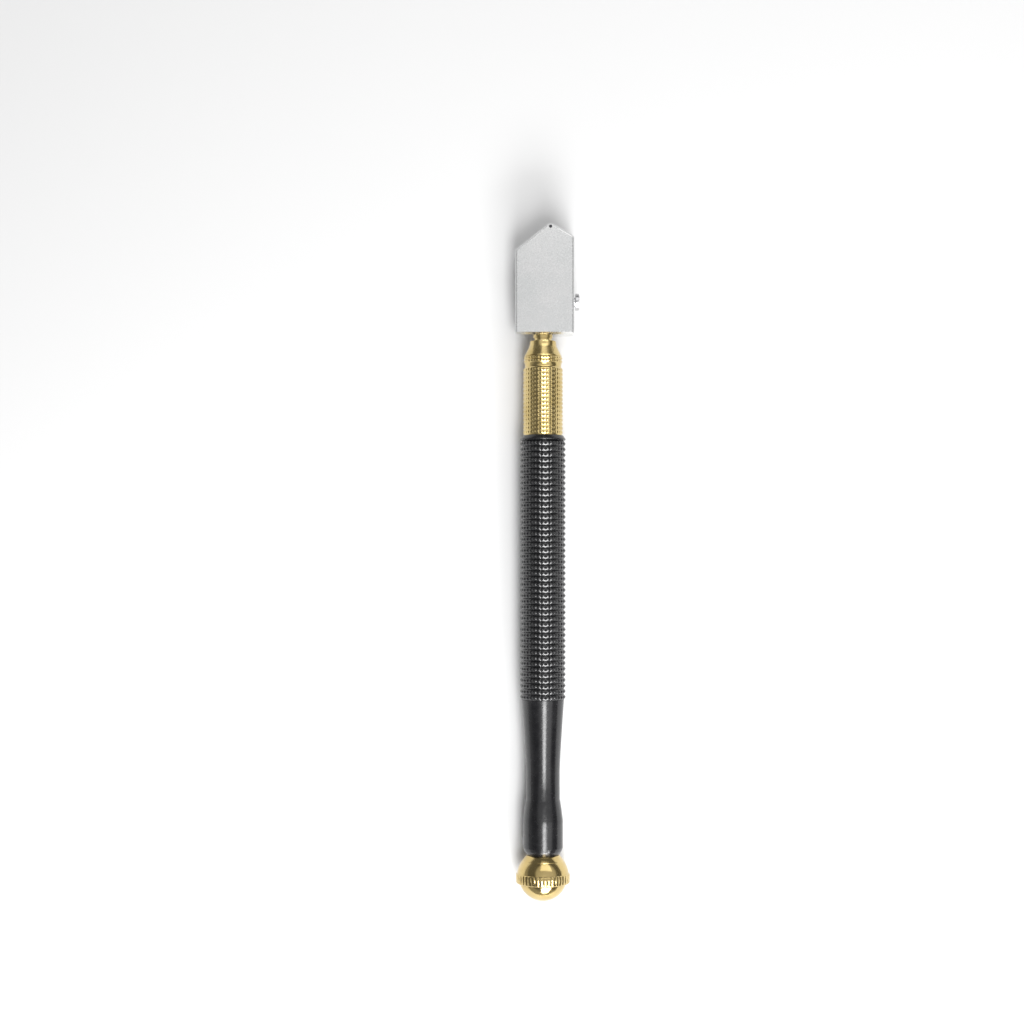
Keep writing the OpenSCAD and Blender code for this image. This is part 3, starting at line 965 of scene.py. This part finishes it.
def head_screw():
    """The side screw: slotted head, thread, and the pin that limits the swivel."""
    columns = 96
    screw_r = 1.25 * MM
    thread_pitch = 0.45 * MM
    thread_depth = 0.13 * MM
    head_r = size("head_screw").y / 2
    head_low = SCREW_HIGH.x - 1.0 * MM
    head_edge = 0.06 * MM
    head_bevel = 0.16 * MM
    pin_r = 0.60 * MM
    pin_bevel = 0.08 * MM
    shank_low = AXIS.x + 2.25 * MM
    shank_bevel = 0.15 * MM
    neck_low = head_low - 0.35 * MM
    neck_r = screw_r - 0.06 * MM
    thread_low = shank_low + 0.2 * MM
    thread_top = head_low - 0.4 * MM
    slot_half = 0.30 * MM
    slot_deep = 0.45 * MM
    start = rounded([
        (SCREW_LOW.x, TIP_R),
        (SCREW_LOW.x, pin_r - pin_bevel),
        (SCREW_LOW.x + pin_bevel, pin_r),
        (shank_low, pin_r),
        (shank_low, screw_r - shank_bevel),
        (shank_low + shank_bevel, screw_r),
    ], 0.04 * MM)
    top = rounded([
        (neck_low, neck_r),
        (head_low, neck_r),
        (head_low, head_r - head_edge),
        (head_low + head_edge, head_r),
        (SCREW_HIGH.x - head_bevel, head_r),
        (SCREW_HIGH.x, head_r - head_bevel),
        (SCREW_HIGH.x, TIP_R),
    ], 0.05 * MM)
    middle_part = thread(thread_low, thread_top, thread_pitch, screw_r, thread_depth, columns)
    place = Matrix.Translation((0, SCREW.y, SCREW.z)) @ Matrix.Rotation(-math.pi / 2, 4, "Z")
    screw = turned("screw", start + middle_part + top, columns, place)
    cut(screw, box_cutter(
        (SCREW_HIGH.x - slot_deep, SCREW.y - slot_half, SCREW.z - head_r - OVER),
        (SCREW_HIGH.x + OVER, SCREW.y + slot_half, SCREW.z + head_r + OVER),
    ))
    stand_in(screw, "head_screw", "screw", "steel")


def felt_rod(name, node, body, r, start, end):
    """A rod of felt with soft ends and an uneven side."""
    columns = 40
    row_l = 0.18 * MM
    soft_l = 0.25 * MM
    end_softness = 0.15
    mean = 0.975
    length = (end - start).length
    count = max(12, round(length / row_l))
    angles = column_angles(columns)
    rows = []
    for k in range(count + 1):
        part = k / count
        y = part * length
        to_end = min(y, length - y) / soft_l
        soft = math.sqrt(min(1, end_softness + to_end))
        wide_waves = 0.012 * np.sin(3 * angles + 40 * part)
        close_waves = 0.010 * np.sin(7 * angles - 90 * part)
        rows.append((y, r * soft * (mean + (wide_waves + close_waves))))
    stand_in(turned(name, rows, columns, placed_along(start, end)), node, body, "felt")


# ---------------------------------------------------------------- carried-over CAD nodes

def keep_node(node, slot, bevel):
    """A CAD node that keeps its shape: its finish, and a fine bevel on sharp edges."""
    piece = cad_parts[node]
    finish_piece(piece, slot)
    modifier = piece.modifiers.new("edges", "BEVEL")
    modifier.width = bevel
    modifier.segments = 2
    modifier.limit_method = "ANGLE"
    modifier.angle_limit = math.radians(40)


# ---------------------------------------------------------------- stage, light, camera

def floor():
    """A plain near-white floor under the cutter, which it all but touches."""
    width = 6.0
    gap = 0.05 * MM
    white = (0.71, 0.71, 0.71)
    dull_white = (0.69, 0.69, 0.69)
    bpy.ops.mesh.primitive_plane_add(size=width, location=(0, 0, CAD_BOX[0][2] - gap))
    piece = bpy.context.object
    piece.name = "floor"
    finish = Finish("floor")
    colour = finish.mix(finish.noise(scale=6, detail=3), white, dull_white)
    finish.bump((finish.noise(scale=900, detail=3), 0.05, 0.1 * MM))
    finish.set(Base_Color=colour, Roughness=0.75)
    piece.data.materials.append(finish.material)


def sky():
    """Soft light from overhead, turned a little to the right, over a dim horizon."""
    # Angles from the brightest direction, in degrees, and the light that comes from there
    levels = ((90, 0.44), (80, 0.18), (50, 0.16), (43, 0.62), (0, 0.74))
    lean_right = math.radians(13)
    lean_ahead = math.radians(16)
    world = bpy.data.worlds.new("studio")
    bpy.context.scene.world = world
    world.use_nodes = True
    nodes = world.node_tree.nodes
    links = world.node_tree.links
    direction = nodes.new("ShaderNodeTexCoord").outputs["Generated"]
    towards = nodes.new("ShaderNodeVectorMath")
    towards.operation = "DOT_PRODUCT"
    brightest = Vector((math.tan(lean_right), math.tan(lean_ahead), 1)).normalized()
    towards.inputs[1].default_value = brightest
    links.new(direction, towards.inputs[0])
    ramp = nodes.new("ShaderNodeValToRGB")
    stops = ramp.color_ramp.elements
    for angle, level in levels[1:-1]:
        stops.new(math.cos(math.radians(angle)))
    for stop, (angle, level) in zip(stops, levels):
        stop.position = math.cos(math.radians(angle))
        stop.color = (level, level, level, 1)
    links.new(towards.outputs["Value"], ramp.inputs["Fac"])
    background = nodes["Background"]
    background.inputs["Strength"].default_value = 1.0
    links.new(ramp.outputs["Color"], background.inputs["Color"])


def softbox(name, centre, width, length, radiance):
    """A flat light that faces down; its power follows from its radiance and area."""
    data = bpy.data.lights.new(name, "AREA")
    data.shape = "RECTANGLE"
    data.size = width
    data.size_y = length
    data.energy = radiance * math.pi * width * length
    light = bpy.data.objects.new(name, data)
    light.location = centre
    bpy.context.scene.collection.objects.link(light)


def lights():
    """Four softboxes overhead: the two bright ones draw the highlights on the metal."""
    height = 0.50

    def across(degrees):
        """How far from overhead a light is that stands at this angle."""
        return height * math.tan(math.radians(degrees))

    def strip(name, left, right, rear, front, radiance):
        """A softbox that spans these angles, seen from the middle of the handle."""
        x = (across(left), across(right))
        y = (across(rear), across(front))
        centre = (AXIS.x + sum(x) / 2, sum(y) / 2, height)
        softbox(name, centre, x[1] - x[0], y[1] - y[0], radiance)

    strip("key", -1, 17, -50, -9, radiance=12)
    strip("low_key", -10, 46, -74, -54, radiance=20)
    strip("front_fill", -14, 44, 27, 62, radiance=1.2)
    strip("side_fill", 22, 52, -50, -9, radiance=0.7)


def camera():
    """Straight above the handle, at the photograph's distance and framing."""
    distance = 440 * MM
    view_width = 261.6 * MM
    sensor_width = 36
    nearest = 0.01
    farthest = 20
    aside = 7.9 * MM
    foot_y = 87.0 * MM
    centre_y = 99.3 * MM
    data = bpy.data.cameras.new("camera")
    data.sensor_width = sensor_width
    data.lens = sensor_width * distance / view_width
    data.shift_y = (centre_y - foot_y) / view_width
    data.clip_start = nearest
    data.clip_end = farthest
    eye = bpy.data.objects.new("camera", data)
    eye.location = (AXIS.x - aside, BALL_END + foot_y, AXIS.z + distance)
    bpy.context.scene.collection.objects.link(eye)
    bpy.context.scene.camera = eye
    bpy.context.scene.view_settings.view_transform = "Standard"


# ---------------------------------------------------------------- build

grip_barrel()
front_ferrule()
ball_cap()
valve_spring()
seal_ring("cap_ring", "cap_o_ring", "cap_seal", 0.43 * MM)
seal_ring("ferrule_ring", "ferrule_o_ring", "handle", 0.36 * MM)
seal_ring("stem_ring", "stem_o_ring", "stem", 0.31 * MM)
head_body()
cutting_wheel()
wheel_axle()
head_screw()

felt_rod("head_felt", "oil_felt", "head", 0.85 * MM,
         BORE_TOP + OIL_WAY * 0.3 * MM, SLOT_FLOOR - OIL_WAY * 0.2 * MM)
WICK_LOW, WICK_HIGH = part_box("stem_wick")
felt_rod("wick", "stem_wick", "stem", 0.80 * MM,
         Vector((AXIS.x, WICK_LOW.y, AXIS.z)), Vector((AXIS.x, WICK_HIGH.y, AXIS.z)))

keep_node("stem", "brass", 0.10 * MM)
keep_node("valve_seat", "brass", 0.08 * MM)
keep_node("valve_poppet", "brass", 0.08 * MM)
keep_node("poppet_seal", "rubber", 0.06 * MM)

floor()
sky()
lights()
camera()
